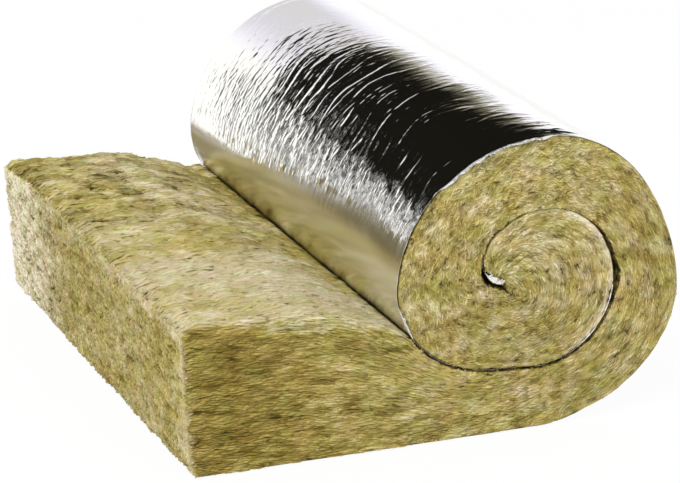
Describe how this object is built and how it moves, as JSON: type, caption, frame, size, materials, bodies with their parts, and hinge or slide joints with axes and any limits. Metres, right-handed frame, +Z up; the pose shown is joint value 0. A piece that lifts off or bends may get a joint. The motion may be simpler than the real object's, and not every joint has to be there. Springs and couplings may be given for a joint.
{
  "type": "insulation roll",
  "caption": "Thick mineral-wool insulation blanket with a foil facing, partly rolled up: a flat run with a cut end, and a round roll lying on it, foil outwards.",
  "frame": {"origin": "middle of the underside of the whole part as it lies on the floor", "axes": "+X along the flat run from its cut end towards the roll, +Y along the roll's axis, +Z up"},
  "size_m": [0.3384, 0.402, 0.199],
  "materials": {
    "stone_wool": "fibrous mat, khaki, matt",
    "aluminium_foil": "bright crinkled foil"
  },
  "bodies": {
    "root": {"wool_blanket": "stone_wool", "foil_facing": "aluminium_foil"}
  },
  "joints": []
}
